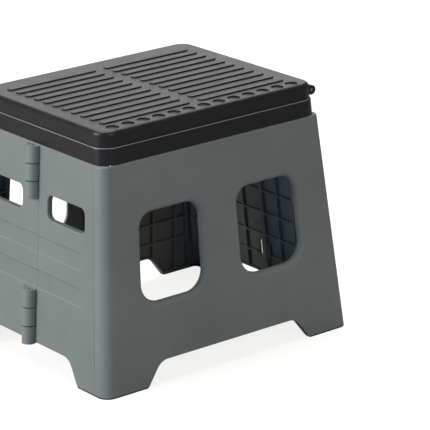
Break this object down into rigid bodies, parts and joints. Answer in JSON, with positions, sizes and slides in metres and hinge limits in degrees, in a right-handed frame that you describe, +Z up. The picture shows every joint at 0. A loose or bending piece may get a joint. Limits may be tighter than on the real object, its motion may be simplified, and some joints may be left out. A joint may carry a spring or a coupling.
{
  "type": "folding step stool",
  "caption": "Folding stool with a tapering hollow base, hinged short sides, cut-out windows, a ribbed hinged lid over a seat frame, and rubber foot pads.",
  "frame": {"origin": "on the floor at the middle of the base", "axes": "+Z up, +X along the stool's length towards the lid's hinges, -Y towards the front wall"},
  "size_m": [0.3986, 0.316, 0.3214],
  "materials": {
    "body_plastic": "moulded grey-green plastic, lightly grained, matte",
    "top_plastic": "moulded charcoal plastic, fine grain, satin",
    "pin_steel": "plain steel pin",
    "foot_rubber": "matte black rubber"
  },
  "bodies": {
    "back_wall": {"back_wall": "body_plastic", "back_wall_foot_pads": "foot_rubber", "rear_left_corner_hinge_pins": "pin_steel", "rear_right_corner_hinge_pins": "pin_steel", "seat_hinge_pins": "pin_steel"},
    "front_wall": {"front_wall": "body_plastic", "front_wall_foot_pads": "foot_rubber", "front_left_corner_hinge_pins": "pin_steel", "front_right_corner_hinge_pins": "pin_steel"},
    "left_rear_panel": {"left_rear_panel": "body_plastic", "left_rear_foot_pad": "foot_rubber", "left_centre_hinge_pins": "pin_steel"},
    "left_front_panel": {"left_front_panel": "body_plastic", "left_front_foot_pad": "foot_rubber"},
    "right_rear_panel": {"right_rear_panel": "body_plastic", "right_rear_foot_pad": "foot_rubber", "right_centre_hinge_pins": "pin_steel"},
    "right_front_panel": {"right_front_panel": "body_plastic", "right_front_foot_pad": "foot_rubber"},
    "seat_frame": {"seat_frame": "top_plastic"},
    "lid": {"lid": "top_plastic", "lid_buffers": "foot_rubber", "lid_hinge_pins": "pin_steel"}
  },
  "joints": [
    {"name": "left_rear_corner_hinge", "type": "hinge", "parent": "back_wall", "child": "left_rear_panel", "pos_m": [-0.179, 0.146, 0], "axis": [0.0809, -0.066, 0.9945], "range_deg": [0, 88]},
    {"name": "left_centre_hinge", "type": "hinge", "parent": "left_rear_panel", "child": "left_front_panel", "pos_m": [-0.1935, 0, 0], "axis": [0.0876, 0, 0.9962], "range_deg": [-175.6, 0]},
    {"name": "left_front_corner_hinge", "type": "hinge", "parent": "left_front_panel", "child": "front_wall", "pos_m": [-0.179, -0.146, 0], "axis": [0.0809, 0.066, 0.9945], "range_deg": [0, 88.1]},
    {"name": "right_rear_corner_hinge", "type": "hinge", "parent": "back_wall", "child": "right_rear_panel", "pos_m": [0.179, 0.146, 0], "axis": [-0.0809, -0.066, 0.9945], "range_deg": [-88, 0]},
    {"name": "right_centre_hinge", "type": "hinge", "parent": "right_rear_panel", "child": "right_front_panel", "pos_m": [0.1935, 0, 0], "axis": [-0.0876, 0, 0.9962], "range_deg": [0, 175.6]},
    {"name": "seat_frame_hinge", "type": "hinge", "parent": "back_wall", "child": "seat_frame", "pos_m": [0, 0.146, 0.286], "axis": [-1, 0, 0], "range_deg": [0, 100]},
    {"name": "lid_hinge", "type": "hinge", "parent": "seat_frame", "child": "lid", "pos_m": [0.1648, 0, 0.3066], "axis": [0, 1, 0], "range_deg": [0, 100]}
  ],
  "couplings": [
    {"joint": "left_centre_hinge", "follows": "left_rear_corner_hinge", "ratio": -1.9943},
    {"joint": "left_front_corner_hinge", "follows": "left_rear_corner_hinge", "ratio": 1.0008},
    {"joint": "right_rear_corner_hinge", "follows": "left_rear_corner_hinge", "ratio": -1},
    {"joint": "right_centre_hinge", "follows": "left_rear_corner_hinge", "ratio": 1.9943}
  ]
}
